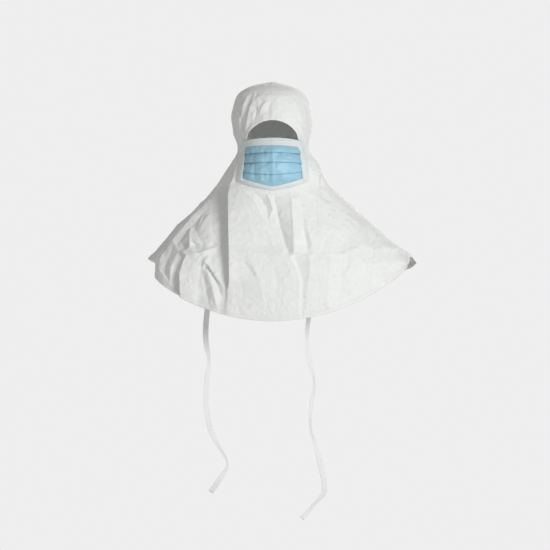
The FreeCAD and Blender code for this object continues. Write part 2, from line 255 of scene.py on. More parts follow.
# Creases seen from the front, as lines of (x, z, height above the smooth cloth)
FRONT_CREASES = [
    # no fold at the mask's edge or over the brow
    both_sides([(-72, -124, 0), (-79, -213, 0), (-40, -233, 0), (0, -241, 0)]),
    both_sides([(-62, -119, 0), (-47, -90, 0), (-25, -74, 0), (0, -69, 0)]),
    # tension from the corners of the face opening up over the head
    [(-57, -108, 1), (-53, -88, 3), (-46, -54, 3), (-30, -32, 1)],
    [(-62, -108, -1), (-60, -82, -2.5), (-53, -50, -2), (-42, -26, -0.5)],
    [(-69, -104, 1), (-67, -78, 3), (-61, -54, 2.5), (-52, -32, 1)],
    [(-36, -74, -1), (-34, -60, -2), (-20, -42, -1)],
    [(-26, -69, 1), (-22, -56, 2), (-12, -44, 1)],
    [(-10, -62, -1), (-6, -50, -1), (2, -40, 0)],
    [(40, -30, 1), (55, -60, 2.2), (63, -88, 1.2)],
    [(33, -36, -0.5), (45, -62, -1.2), (53, -84, -1)],
    [(64, -36, 1.5), (74, -50, 2), (77, -84, 1)],
    [(-74, -64, 1), (-71, -84, 2.5), (-73, -104, 1)],
    [(-66, -44, -1), (-67, -62, -3.5), (-66, -84, -4), (-66, -104, -2)],
    [(-44, -94, 0.5), (-40, -72, 1.5), (-30, -54, 1)],
    # under the chin
    [(-56, -240, 1), (-36, -262, 1.5), (-20, -296, 1)],
    [(-38, -240, -2), (-24, -252, -4), (-12, -269, -3.5), (-9, -300, -1)],
    [(-10, -246, 1), (-4, -258, 2), (1, -276, 1)],
    # the pleat in the middle of the chest
    [(4, -250, -2), (9, -275, -3.5), (17, -308, -4), (27, -348, -3.5), (34, -366, -2)],
    [(37, -243, 2), (39.5, -256, 6), (42, -300, 8.5), (44, -340, 9), (45.5, -367, 6)],
    [(60, -246, 1), (63, -280, 0), (65, -306, 0), (69, -330, -2.5), (73, -345, -4), (76, -366, -1)],
    [(72, -300, 2), (77, -328, 3), (82, -345, 2), (86, -368, 0)],
    [(47.5, -373, -1), (55, -398, -3), (63.4, -424, -3), (62.5, -460, -2), (61.5, -500, -1)],
    [(77, -375, 3), (79.5, -392, 4), (79, -412, 2), (73, -450, 0.5), (71, -500, 0)],
    [(38, -376, 1.5), (50, -402, 2), (58, -425, 1.2), (57.5, -460, 0.8), (56, -500, 0.3)],
    # the fold across the chest from the packet
    [(-88, -366, 0), (-55, -367, 2), (-15, -369.5, 2), (20, -371.5, 2)],
    [(92, -372, 0.5), (120, -371, 2), (160, -368, 1.5)],
    [(-84, -352, 0), (-20, -354, -0.5)],
    [(-84, -385, 0), (-60, -388, -1.5), (-48, -404, -2)],
    [(-40, -398, 2), (-28, -430, 2.5), (-18, -475, 0.5)],
    [(-70, -420, 0), (-62, -460, -1), (-66, -498, 0)],
    [(4, -400, -1), (10, -440, -1.5), (6, -490, 0)],
    # the crumpled stretch over the wearer's right shoulder
    [(-180, -316, 1), (-181, -338, 5), (-180, -357, 7)],
    [(-208, -365, 2), (-197, -368, 6), (-187, -376, 8), (-165, -371, 7), (-147, -366, 6)],
    [(-206, -342, -3), (-192, -354, -5)],
    [(-172, -350, -5), (-152, -352, -4)],
    [(-187, -376, 8), (-194, -395, 10), (-199, -412, 12), (-198, -440, 13), (-197, -468, 12)],
    [(-192, -380, -2), (-202, -400, -6), (-207, -415, -8), (-206, -440, -8), (-204, -464, -6)],
    [(-150, -378, 1), (-155, -400, -2), (-160, -430, -2), (-165, -472, 0)],
    [(-140, -372, 0), (-146, -388, 6), (-130, -415, 5), (-110, -443, 2)],
    [(-140, -399, -4), (-124, -430, -4), (-112, -462, -2)],
    [(-141, -410, 4), (-131, -440, 5), (-119, -488, 3)],
    [(-148, -425, -4), (-143, -455, -4), (-136, -484, -2)],
    [(-220, -396, 4), (-224, -432, 4)],
    [(-232, -380, -3), (-238, -412, -3)],
    [(-245, -372, 3), (-252, -400, 3)],
    [(-140, -258, 2), (-185, -306, 4), (-222, -343, 3)],
    [(-146, -275, -2), (-176, -308, -3), (-214, -346, -3)],
    [(-118, -265, 0), (-128, -310, 1), (-124, -350, 0)],
    # soft folds beside the mask and over the wearer's left shoulder
    [(90, -150, 1), (92, -190, 3), (97, -248, 2)],
    [(99, -188, -1), (102, -215, -3.5), (107, -250, -2)],
    [(104, -192, 1), (113, -230, 2.5), (122, -264, 1)],
    [(132, -290, 1), (128, -340, 2), (122, -364, 2)],
    [(121, -380, 2), (119, -430, 2), (116, -484, 1)],
    [(144, -300, -1), (148, -350, -2.5), (148, -362, -1)],
    [(147, -380, -2), (147, -430, -2), (140, -480, -1)],
    [(178, -306, 1), (187, -345, 4), (185, -380, 3), (181, -440, 1)],
    [(192, -306, -1), (205, -345, -4), (208, -376, -3), (207, -430, -1)],
    [(214, -326, 1), (222, -362, 3), (226, -410, 1.5)],
    [(240, -348, -1), (246, -380, -2), (246, -418, -1)],
    [(262, -362, 2), (268, -384, 2)],
]
MAP_CORNERS = [(-330, 30, 0), (330, 30, 0), (330, -560, 0), (-330, -560, 0)]  # outside the hood


def crease_map():
    """The triangles between the front creases: corners in the front view, and a height for each."""
    points, edges, heights = [], [], []
    for line in FRONT_CREASES + [MAP_CORNERS]:
        first = len(points)
        points += [Vector(p[:2]) for p in line]
        heights += [p[2] for p in line]
        edges += [(first + i, first + i + 1) for i in range(len(line) - 1)]
    corners, _, faces, sources, _, _ = geometry.delaunay_2d_cdt(points, edges, [], 0, 1e-4)
    found = []
    for corner, source in zip(corners, sources):
        nearest = min(range(len(points)), key=lambda i: (points[i] - corner).length)
        found.append(heights[source[0]] if source else heights[nearest])
    corners = np.array(corners)
    return corners[np.array(faces)], np.array(found)[np.array(faces)]


CREASE_CORNERS, CREASE_HEIGHTS = crease_map()


def within_box(x, sorted_z, low, high):
    """The numbers of the points inside a box, for points sorted by height."""
    first, last = np.searchsorted(sorted_z, (low[1], high[1]))
    return first + np.flatnonzero((x[first:last] >= low[0]) & (x[first:last] <= high[0]))


def unsorted(values, order):
    """Values of the sorted points, back in the order that the points were in."""
    back = np.empty_like(values)
    back[order] = values
    return back


def crease_height(x, z):
    """The height of the front creases, which are straight between their lines."""
    order = np.argsort(z)
    x, z = x[order], z[order]
    found = np.zeros_like(x)
    for (a, b, c), (ha, hb, hc) in zip(CREASE_CORNERS, CREASE_HEIGHTS):
        near = within_box(x, z, np.minimum(np.minimum(a, b), c), np.maximum(np.maximum(a, b), c))
        if not len(near):
            continue
        area = (b[0] - a[0]) * (c[1] - a[1]) - (c[0] - a[0]) * (b[1] - a[1])
        px, pz = x[near] - a[0], z[near] - a[1]
        wb = (px * (c[1] - a[1]) - pz * (c[0] - a[0])) / area
        wc = ((b[0] - a[0]) * pz - (b[1] - a[1]) * px) / area
        on = (wb >= -1e-9) & (wc >= -1e-9) & (wb + wc <= 1 + 1e-9)
        found[near[on]] = (ha * (1 - wb - wc) + hb * wb + hc * wc)[on]
    return unsorted(found, order)


def front_creases(x, z):
    """The front creases with their edges rounded over a few millimetres."""
    spread = 0.8
    around = [(0, 0), (spread, 0), (-spread, 0), (0, spread), (0, -spread)]
    return sum(crease_height(x + dx, z + dz) for dx, dz in around) / len(around)


def crease_lines(x, z):
    """A narrow ridge or groove along each front crease, where the cloth stays bent."""
    width, found = 3.4, np.zeros_like(x)
    order = np.argsort(z)
    x, z = x[order], z[order]
    for line in FRONT_CREASES[2:]:
        at = np.array(line, float)
        bend = np.sign(at[:, 2].sum()) * np.clip(0.5 + 0.12 * np.abs(at[:, 2]), 0, 1.4)
        best = np.zeros_like(x)
        for a, b, ha, hb in zip(at[:-1, :2], at[1:, :2], bend[:-1], bend[1:]):
            near = within_box(x, z, np.minimum(a, b) - width, np.maximum(a, b) + width)
            if not len(near):
                continue
            gap = np.stack([x[near], z[near]], -1) - a
            share = np.clip(gap @ (b - a) / ((b - a) @ (b - a)), 0, 1)
            off = np.linalg.norm(gap - share[:, None] * (b - a), axis=1)
            height = (ha + (hb - ha) * share) * np.clip(1 - off / width, 0, 1)
            better = np.abs(height) > np.abs(best[near])
            best[near] = np.where(better, height, best[near])
        found += best
    return unsorted(found, order)


def crumpled(x, y, z):
    """How crumpled the cloth is: most over the wearer's right shoulder and head, least on the bib."""
    head = 1 - smooth(-z, 120, 190)
    right_side = smooth(-x, 60, 110)
    bib = smooth(-y, 60, 100) * (1 - smooth(np.abs(x), 70, 110)) * smooth(-z, 180, 230)
    return np.clip(0.62 + 0.35 * head + 0.55 * right_side - 0.32 * bib, 0.2, 1.5)


def noise(p, size, seed):
    """Smooth noise from -1 to 1 with features of that size."""
    table = np.random.RandomState(seed).rand(4096) * 2 - 1
    q = p / size
    cell = np.floor(q).astype(np.int64)
    f = q - cell
    f = f * f * (3 - 2 * f)
    total = np.zeros(p.shape[:-1])
    for corner in np.ndindex(2, 2, 2):
        i = cell + np.array(corner)
        key = (i[..., 0] * 73856093) ^ (i[..., 1] * 19349663) ^ (i[..., 2] * 83492791)
        weight = np.prod(np.where(np.array(corner) == 1, f, 1 - f), axis=-1)
        total += weight * table[key & 4095]
    return total


def random_creases(count, seed):
    """Short straight creases scattered over the cloth, most of them steep rather than level."""
    pick = np.random.RandomState(seed)
    made = []
    for _ in range(count):
        turn, z = pick.uniform(0, 2 * math.pi), -500 * pick.uniform(0.02, 1) ** 0.8
        u = level_at(z)
        place = rest(np.array(turn), np.array(u))
        n = normals(np.array([turn]), np.array([u]))[0]
        slant = pick.normal(0, 0.55)
        down = np.cross(n, (math.cos(turn), -math.sin(turn), 0))
        down /= np.linalg.norm(down)
        side = np.cross(down, n)
        along = down * math.cos(slant) + side * math.sin(slant)
        across = np.cross(along, n)
        length, width = pick.uniform(10, 46), pick.uniform(2.6, 7.5)
        height = width * pick.uniform(0.07, 0.2) * pick.choice((-1, 1))
        made.append((place, along, across, n, length, width, height))
    return made


SCATTER = random_creases(640, 7)


def scattered(p):
    """The height of the scattered creases at points of the undisturbed cloth."""
    order = np.argsort(p[:, 2])
    p = p[order]
    total = np.zeros(len(p))
    for place, along, across, n, length, width, height in SCATTER:
        first, last = np.searchsorted(p[:, 2], (place[2] - length, place[2] + length))
        gap = p[first:last] - place
        near = np.flatnonzero((gap**2).sum(-1) < length**2)
        gap, near = gap[near], near + first
        taper = np.clip(1 - (gap @ along / length)**2, 0, 1)
        ridge = np.clip(1 - np.abs(gap @ across) / width, 0, 1)
        total[near] += height * taper * ridge * (np.abs(gap @ n) < 20)
    return unsorted(total, order)


def deep_fold(x, z):
    """How far the deep fold lifts the cloth, and how far it moves it sideways."""
    edge, out, depth = (np.interp(-z, -DEEP_FOLD[:, 0], DEEP_FOLD[:, k]) for k in (1, 2, 3))
    d, share = x - edge, np.clip(out / FULL_FOLD, 0, 1)
    on_wall = np.clip(-d / WALL, 0, 1)
    bib_side = np.clip(1 - d / 70, 0, 1) ** 1.2
    shoulder_side = (1 - smooth(-d, -1, 74)) ** 1.3
    lift = np.where(d > 0, out * bib_side, out - (out + depth) * smooth(on_wall, 0, 1))
    lift = np.where(d < -WALL, -depth * shoulder_side, lift)
    on_bib = -FOLD_PULL * (1 - smooth(d, 0, 26))
    aside = np.where(d > 0, on_bib, (WALL + 2 * FOLD_PULL) * on_wall - FOLD_PULL)
    aside = np.where(d < -WALL, (WALL + FOLD_PULL) * shoulder_side, aside)
    return lift, aside * share


def folds(turn, u):
    """How far each point of the cloth is lifted from its outline, and how far it is moved in x."""
    p = rest(turn, u)
    x, z = p[:, 0], p[:, 2]
    half = outline(u)[1]
    facing = smooth(-np.cos(turn), 0.1, 0.45)
    behind = 1 - smooth(-np.cos(turn), -0.25, 0.3)
    calm = np.where(np.cos(turn) < 0, away_from_mask(x, z), 1)
    from_tie = np.abs(p) * (1, 0, 1) + p * (0, 1, 0) - (TIE_X, TIE_SHIFT_Y, -TIE_TOP_Z)
    hanging = 1 - np.exp(-(from_tie**2).sum(1) / TIE_REACH**2)
    calm = calm * hanging
    lift, aside = deep_fold(x, z)
    creased = np.zeros(len(x))
    front = np.flatnonzero(facing > 0)
    creased[front] = front_creases(x[front], z[front]) + crease_lines(x[front], z[front])
    lift = (lift + creased) * facing
    # soft flutes that open towards the hem at the sides and back
    opening = smooth(-z, 170, 500)
    wide, narrow = np.sin(7 * turn + 1.2 * noise(p, 160, 3)), np.sin(13 * turn + 2)
    lift += behind * opening * (FLUTE_HEIGHTS[0] * wide + FLUTE_HEIGHTS[1] * narrow)
    # the elastic gathers the nape
    gathered = np.exp(-((z - NAPE_Z) / 26)**2) * smooth(np.cos(turn), 0.55, 0.9)
    lift += GATHER_HEIGHT * gathered * np.abs(((x / GATHER_WIDTH + 0.35 * noise(p, 30, 5)) % 2) - 1)
    # slow swells and small crumples everywhere
    lift += SWELL_HEIGHT * noise(p, 85, 11) * smooth(-z, 0, 60)
    small = 0
    for height, squeeze, size, seed in CRUMPLES:
        small = small + height * np.abs(noise(p * (1, 1, squeeze), size, seed))
    lift += (scattered(p) + small) * crumpled(x, p[:, 1], z) * smooth(-z, 2, 30)
    leans = [np.interp(-z, *zip(*side)) for side in (RIGHT_LEAN, LEFT_LEAN)]
    held_back = 0.55 * smooth(-z, 350, 372) * smooth(x, 0, 60) * smooth(-np.cos(turn), 0.0, 0.2)
    lean = np.where(x < 0, *leans) * hanging * (1 - held_back)
    # below the wearer's right tip the cloth turns in under itself
    tucked = smooth(-z, 382, 393) * smooth(-x, 240, 262)
    aside = aside * facing * (1 - tucked) + np.maximum(-262 - x, 0) * tucked
    return lift * calm * (1 - 0.8 * tucked), aside * calm + lean * (np.abs(x) / half)**3


def place(points, out=0.0):
    """Where points of the undisturbed cloth come to lie once it is folded, out mm outside it."""
    shape = points.shape
    points = points.reshape(-1, 3)
    turn, u = find(points)
    lift, aside = folds(turn, u)
    n = normals(turn, u)
    moved = rest(turn, u) + n * (np.broadcast_to(out, shape[:-1]).reshape(-1) + lift)[:, None]
    moved[:, 0] += aside
    return moved.reshape(shape)


def on_cloth(points, out=0.0):
    """Points out mm off the folded cloth, square to it, over points of the undisturbed cloth."""
    turn, u = find(points)
    n = normals(turn, u)
    level = np.cross(n, (0.0, 0.0, 1.0))
    level[np.linalg.norm(level, axis=-1) < 1e-6] = (1, 0, 0)
    level = unit(level)
    upright = np.cross(n, level)
    step = 0.5
    at = place(points)
    square = np.cross(place(points + level * step) - at, place(points + upright * step) - at)
    square /= np.maximum(np.linalg.norm(square, axis=-1, keepdims=True), 1e-9)
    return at + square * np.asarray(out, float)[..., None], square


# ================================================================ meshes
def new_object(name, points, faces):
    """A smooth mesh object from points in millimetres."""
    mesh = bpy.data.meshes.new(name)
    mesh.from_pydata((np.asarray(points, float).reshape(-1, 3) * MM).tolist(), [], faces)
    mesh.validate()
    mesh.polygons.foreach_set("use_smooth", [True] * len(mesh.polygons))
    made = bpy.data.objects.new(name, mesh)
    bpy.context.scene.collection.objects.link(made)
    return made


def grid_faces(rows, columns, closed_rows=False, closed_columns=False):
    """The four-sided faces of a grid of points that are stored row by row."""
    faces = []
    for i in range(rows if closed_rows else rows - 1):
        for j in range(columns if closed_columns else columns - 1):
            k, m = (i + 1) % rows, (j + 1) % columns
            faces.append((i * columns + j, i * columns + m, k * columns + m, k * columns + j))
    return faces


def grid_object(name, grid, closed_rows=False, closed_columns=False):
    rows, columns = grid.shape[:2]
    return new_object(name, grid, grid_faces(rows, columns, closed_rows, closed_columns))


def finish_piece(piece, body, slot, material, *nodes):
    """Gives the piece its material, hangs it on its body and hides the CAD parts that it replaces."""
    piece.data.materials.clear()
    piece.data.materials.append(material)
    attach(piece, body)
    if nodes:
        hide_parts(*nodes)


# ================================================================ materials
def node(tree, kind, **inputs):
    made = tree.nodes.new(kind)
    for name, value in inputs.items():
        made.inputs[name.replace("_", " ")].default_value = value
    return made


def new_material(name, **inputs):
    """A material and its shader, with those of the shader's inputs set."""
    material = bpy.data.materials.new(name)
    material.use_nodes = True
    shader = material.node_tree.nodes["Principled BSDF"]
    for key, value in inputs.items():
        shader.inputs[key.replace("_", " ")].default_value = value
    return material, shader


def colour_between(tree, factor, low, high):
    ramp = tree.nodes.new("ShaderNodeValToRGB")
    ramp.color_ramp.elements[0].color = (*low, 1)
    ramp.color_ramp.elements[1].color = (*high, 1)
    tree.links.new(factor, ramp.inputs["Fac"])
    return ramp.outputs["Color"]


def bump(tree, height, strength, distance, normal=None):
    made = node(tree, "ShaderNodeBump", Strength=strength, Distance=distance)
    tree.links.new(height, made.inputs["Height"])
    if normal is not None:
        tree.links.new(normal, made.inputs["Normal"])
    return made.outputs["Normal"]


def nonwoven(name, dark, light, roughness=0.62, fibre=0.35, emboss=0.25, gloss=0.35, crumple=0.0):
    """Bonded fibres: a fine swirl of strands, faint clouding, and rows of small bonding dots."""
    soft = {"Sheen_Weight": 0.1, "Sheen_Roughness": 0.5}
    material, shader = new_material(name, Roughness=roughness, Specular_IOR_Level=gloss, **soft)
    tree = material.node_tree
    position = tree.nodes.new("ShaderNodeTexCoord").outputs["Object"]
    cloud = node(tree, "ShaderNodeTexNoise", Scale=38.0, Detail=6.0, Roughness=0.62, Distortion=0.6)
    strands = node(tree, "ShaderNodeTexNoise", Scale=420.0, Detail=5.0, Roughness=0.7, Distortion=2.2)
    dots = node(tree, "ShaderNodeTexVoronoi", Scale=620.0, Randomness=0.35)
    for texture in (cloud, strands, dots):
        tree.links.new(position, texture.inputs["Vector"])
    mixed = tree.nodes.new("ShaderNodeMath")
    mixed.operation = "MULTIPLY_ADD"
    mixed.inputs[1].default_value = 0.45
    tree.links.new(strands.outputs["Fac"], mixed.inputs[0])
    tree.links.new(cloud.outputs["Fac"], mixed.inputs[2])
    tree.links.new(colour_between(tree, mixed.outputs[0], dark, light), shader.inputs["Base Color"])
    normal = bump(tree, strands.outputs["Fac"], fibre, 0.0006)
    if crumple:
        wrinkles = node(tree, "ShaderNodeTexNoise", Scale=70.0, Detail=3.0, Roughness=0.55, Distortion=0.4)
        wrinkles.noise_type = "RIDGED_MULTIFRACTAL"
        tree.links.new(position, wrinkles.inputs["Vector"])
        normal = bump(tree, wrinkles.outputs["Fac"], crumple, 0.002, normal)
    normal = bump(tree, dots.outputs["Distance"], emboss, 0.0004, normal)
    tree.links.new(normal, shader.inputs["Normal"])
    return material


def plain_metal(name, colour):
    """Metal with a fine brushed grain."""
    material, shader = new_material(name, Metallic=1.0, Roughness=0.38)
    tree = material.node_tree
    brushed = node(tree, "ShaderNodeTexNoise", Scale=900.0, Detail=3.0)
    tree.links.new(tree.nodes.new("ShaderNodeTexCoord").outputs["Object"], brushed.inputs["Vector"])
    dark = tuple(0.8 * c for c in colour)
    tree.links.new(colour_between(tree, brushed.outputs["Fac"], dark, colour), shader.inputs["Base Color"])
    tree.links.new(bump(tree, brushed.outputs["Fac"], 0.2, 0.0002), shader.inputs["Normal"])
    return material


CLOTH_WHITE = (0.78, 0.785, 0.775), (0.87, 0.875, 0.865)
PALE_BLUE = (0.27, 0.54, 0.71), (0.38, 0.64, 0.78)
HOOD_CLOTH = nonwoven("hood_cloth", *CLOTH_WHITE, crumple=0.9)
TAPE_CLOTH = nonwoven("tape_cloth", *CLOTH_WHITE, emboss=0.4)
MASK_BLUE = nonwoven("mask_blue", *PALE_BLUE, roughness=0.45, fibre=0.45, emboss=0.5, gloss=0.6)
MASK_WHITE = nonwoven("mask_white", (0.70, 0.76, 0.78), (0.80, 0.84, 0.85), fibre=0.4, emboss=0.6)
ELASTIC = nonwoven("elastic", (0.66, 0.66, 0.63), (0.76, 0.76, 0.73), roughness=0.75, emboss=0.7)
TIE_CLOTH = nonwoven("tie_cloth", (0.80, 0.81, 0.81), (0.88, 0.89, 0.89), emboss=0.45)
THREAD = nonwoven("thread", (0.68, 0.68, 0.66), (0.78, 0.78, 0.76), roughness=0.5, emboss=0.1)
WIRE_METAL = plain_metal("wire_metal", (0.76, 0.77, 0.78))

# ================================================================ camera and light
PIXELS_WIDE, MM_PER_PIXEL = 550, 2.15
CAMERA_DISTANCE = 12000
SCALE_PLANE = 40  # how far in front of the origin a picture's pixel is exactly that many mm
VIEW_X, VIEW_Z = 5.4, -415  # the middle of the view
SENSOR_WIDTH = 36
LIT_POINT = (0, 0, -0.3)  # where every light points, in metres
FLOOR_Z, FLOOR_RADIUS = -1.75, 7.0  # in metres
SEEN_GREY = (0.86, 0.86, 0.86, 1)  # the surroundings that the camera sees
SHED_GREY = (0.37, 0.37, 0.358, 1)  # the light that they shed


def add_camera():
    data = bpy.data.cameras.new("camera")
    data.sensor_width = SENSOR_WIDTH
    data.clip_end = 60
    data.lens = SENSOR_WIDTH * CAMERA_DISTANCE / (PIXELS_WIDE * MM_PER_PIXEL)
    camera = bpy.data.objects.new("camera", data)
    camera.location = (VIEW_X * MM, -(CAMERA_DISTANCE + SCALE_PLANE) * MM, VIEW_Z * MM)
    camera.rotation_euler = (math.pi / 2, 0, 0)
    bpy.context.scene.collection.objects.link(camera)
    bpy.context.scene.camera = camera


def add_light(name, location, size, power, colour):
    data = bpy.data.lights.new(name, "AREA")
    data.shape = "DISK"
    data.size, data.energy, data.color = size, power, colour
    light = bpy.data.objects.new(name, data)
    light.location = location
    light.rotation_euler = (Vector(LIT_POINT) - Vector(location)).to_track_quat("-Z", "Y").to_euler()
    bpy.context.scene.collection.objects.link(light)


def add_surroundings():
    """Pale surroundings, which look lighter to the camera than the light that they shed."""
    world = bpy.data.worlds.new("studio")
    world.use_nodes = True
    tree = world.node_tree
    seen, around = tree.nodes["Background"], tree.nodes.new("ShaderNodeBackground")
    seen.inputs["Color"].default_value = SEEN_GREY
    around.inputs["Color"].default_value = SHED_GREY
    chosen = tree.nodes.new("ShaderNodeMixShader")
    tree.links.new(tree.nodes.new("ShaderNodeLightPath").outputs["Is Camera Ray"], chosen.inputs["Fac"])
    tree.links.new(around.outputs[0], chosen.inputs[1])
    tree.links.new(seen.outputs[0], chosen.inputs[2])
    tree.links.new(chosen.outputs[0], tree.nodes["World Output"].inputs["Surface"])
    bpy.context.scene.world = world
    bpy.context.scene.view_settings.view_transform = "Standard"


def add_floor():
    """A pale floor where a standing wearer's feet would be."""
    mesh = bpy.data.meshes.new("floor")
    shape = bmesh.new()
    bmesh.ops.create_circle(shape, cap_ends=True, segments=128, radius=FLOOR_RADIUS)
    shape.to_mesh(mesh)
    shape.free()
    floor = bpy.data.objects.new("floor", mesh)
    floor.location = (0, 0, FLOOR_Z)
    bpy.context.scene.collection.objects.link(floor)
    glow = {"Emission_Color": (1, 1, 1, 1), "Emission_Strength": 0.22}
    material, _ = new_material("floor", Base_Color=(0.55, 0.55, 0.55, 1), Roughness=0.9, **glow)
    mesh.materials.append(material)


add_camera()
add_light("key", (2.0, -3.05, 0.5), 1.5, 75, (0.985, 1.0, 1.0))
add_light("fill", (-2.8, -2.4, 0.3), 2.5, 4, (1.0, 0.99, 0.96))
add_light("back", (0.6, 3.2, 0.6), 2.0, 50, (1, 1, 1))
add_surroundings()
add_floor()

# ================================================================ the two ties
TIE_WIDTH, TIE_THICK = 12, 0.45
LEFT_TIE = [(106, 0, -204), (105, 2, -256), (100, 4, -309), (93, 5, -362), (87, 3, -414), (83, 0, -464),
            (77, -3, -512), (73, -5, -558), (80, -3, -604), (93, 1, -646), (83, 4, -694), (80, 4, -744),
            (95, 1, -789), (105, -3, -829), (110, -4, -853), (112, -2, -869), (112, 1, -884),
            (102, 3, -896), (83, 1, -918), (63, -4, -940)]
RIGHT_TIE = [(-106, 0, -204), (-108, -2, -256), (-114, -4, -308), (-123, -4, -360), (-131, -2, -411),
             (-137, 1, -461), (-143, 4, -509), (-145, 5, -557), (-135, 3, -601), (-142, -1, -645),
             (-144, -4, -691), (-138, -4, -736), (-122, -1, -777), (-105, 2, -801), (-98, 3, -815),
             (-97, 1, -830), (-105, -2, -843), (-119, -2, -863), (-133, 2, -883)]
# how far the tape has turned about its own line, in degrees, at shares of its length
LEFT_TWIST = ((0, 90), (0.06, 80), (0.16, 10), (0.35, 10), (0.46, 55), (0.52, 20), (0.58, 75), (0.64, 30),
              (0.72, 70), (0.80, 15), (0.905, 10), (0.935, 55), (0.96, 40), (1, 20))
RIGHT_TWIST = ((0, 90), (0.06, 80), (0.16, 0), (0.40, -10), (0.52, 12), (0.565, 70), (0.60, 20), (0.70, 25),
               (0.78, 10), (0.84, 55), (0.90, 70), (0.925, 40), (0.95, 8), (1, 0))


def smooth_line(name, route):
    """Points along the NURBS spline whose control points are the route's, in metres."""
    curve = bpy.data.curves.new(name, "CURVE")
    curve.dimensions = "3D"
    spline = curve.splines.new("NURBS")
    spline.points.add(len(route) - 1)
    for point, at in zip(spline.points, route):
        point.co = (at[0] * MM, (at[1] + TIE_SHIFT_Y) * MM, at[2] * MM, 1)
    spline.order_u = 3
    spline.use_endpoint_u = True
    spline.resolution_u = 14
    holder = bpy.data.objects.new(name, curve)
    mesh = bpy.data.meshes.new_from_object(holder)
    line = np.array([v.co for v in mesh.vertices])
    bpy.data.objects.remove(holder)
    bpy.data.meshes.remove(mesh)
    return line


def ribbon(name, route, twist):
    """A flat tape along a route, with a rounded edge, a square cut end and a twist that comes and goes."""
    line = smooth_line(name + "_line", route) / MM
    along = unit(np.gradient(line, axis=0))
    share = run_along(line)
    share /= share[-1]
    angles = np.radians(np.interp(share, *zip(*twist)))
    kernel = np.hanning(15) / np.hanning(15).sum()
    angles = np.convolve(np.pad(angles, 7, mode="edge"), kernel, mode="valid")
    flat = unit(np.cross(along, (0, 1, 0)))
    face = np.cross(flat, along)
    across = flat * np.cos(angles)[:, None] + face * np.sin(angles)[:, None]
    outward = np.cross(across, along)
    half, thick = TIE_WIDTH / 2, TIE_THICK / 2
    ring = [(-half, 0), (-half + 0.3, thick), (-half + 1.4, thick), (0, thick * 1.25), (half - 1.4, thick),
            (half - 0.3, thick), (half, 0), (half - 0.3, -thick), (half - 1.4, -thick), (0, -thick * 0.75),
            (-half + 1.4, -thick), (-half + 0.3, -thick)]
    cupped = 0.5 * np.sin(9 * math.pi * share)
    grid = np.stack([
        line + across * w + outward * (t + cupped[:, None] * (1 - (w / half)**2)) for w, t in ring
    ], axis=1)
    rows, columns = grid.shape[:2]
    faces = grid_faces(rows, columns, closed_columns=True)
    faces += [tuple(range(columns))[::-1], tuple((rows - 1) * columns + i for i in range(columns))]
    return new_object(name, grid, faces), line * MM


def add_tie(side, route, twist):
    piece, line = ribbon(f"{side}_tie_tape", route, twist)
    finish_piece(piece, f"{side}_tie_tape", "tie_tape", TIE_CLOTH, f"{side}_tie")
    tuple(line[0])
    round(float(run_along(line)[-1]), 3)


add_tie("left", LEFT_TIE, LEFT_TWIST)
add_tie("right", RIGHT_TIE, RIGHT_TWIST)

# ================================================================ the hood's panels
COLUMNS, ROWS = 600, 330


def hem_levels(turn):
    """The level number at which each column of the cloth meets the hem."""
    low, high = np.full(len(turn), 3.0), np.full(len(turn), len(LEVELS) - 1.01)
    rise = np.interp(turn, *zip(*((math.radians(angle), up) for angle, up in TIP_RISE)))
    for _ in range(40):
        middle = (low + high) / 2
        p = rest(turn, middle)
        above = p[:, 2] > hem_height(p[:, 0]) + rise
        low, high = np.where(above, middle, low), np.where(above, high, middle)
    return (low + high) / 2


def cloth_lengths():
    """How far down the cloth each level number is, measured along the side, for even rows."""
    u = np.linspace(-1, len(LEVELS) - 1.01, 3000)
    return u, run_along(rest(np.full(len(u), math.pi / 2), u))


LENGTH_U, LENGTH = cloth_lengths()


def master_cloth():
    """The whole undisturbed cloth as a mesh, with a column of points on each centre line."""
    turn = np.arange(COLUMNS) * 2 * math.pi / COLUMNS
    ends = np.interp(hem_levels(turn), LENGTH_U, LENGTH)
    share = np.linspace(0, 1, ROWS)[:, None]
    u = np.interp(share * ends, LENGTH, LENGTH_U)
    grid = rest(np.broadcast_to(turn, u.shape), u)
    faces = grid_faces(ROWS, COLUMNS, closed_columns=True)[COLUMNS:]
    faces += [(0, COLUMNS + (j + 1) % COLUMNS, COLUMNS + j) for j in range(COLUMNS)]
    shape = bmesh.new()
    corners = [shape.verts.new(p) for p in grid.reshape(-1, 3)]
    for face in faces:
        shape.faces.new([corners[i] for i in face])
    bmesh.ops.delete(shape, geom=[v for v in corners if not v.link_faces], context="VERTS")
    return shape


def cut_along(shape, faces, line, reach=5.0):
    """Cuts the faces near each run of a line in the front view."""
    near_line = set()
    for face in faces:
        c = face.calc_center_median()
        if any(min(a[0], b[0]) - reach < c.x < max(a[0], b[0]) + reach
               and min(a[1], b[1]) - reach < c.z < max(a[1], b[1]) + reach for a, b in zip(line, line[1:])):
            near_line.add(face)
    for (ax, az), (bx, bz) in zip(line, line[1:]):
        length = math.hypot(bx - ax, bz - az)
        tx, tz = (bx - ax) / length, (bz - az) / length
        near = []
        for face in near_line:
            c = face.calc_center_median()
            along = (c.x - ax) * tx + (c.z - az) * tz
            off = abs((c.x - ax) * tz - (c.z - az) * tx)
            if -reach < along < length + reach and off < reach:
                near.append(face)
        near_line.difference_update(near)
        edges, corners = {e for f in near for e in f.edges}, {v for f in near for v in f.verts}
        touched = near + list(edges) + list(corners)
        plane = {"plane_co": (ax, 0, az), "plane_no": (tz, 0, -tx)}
        cut = bmesh.ops.bisect_plane(shape, geom=touched, dist=1e-4, **plane)
        near_line.update(g for g in cut["geom"] if isinstance(g, bmesh.types.BMFace))


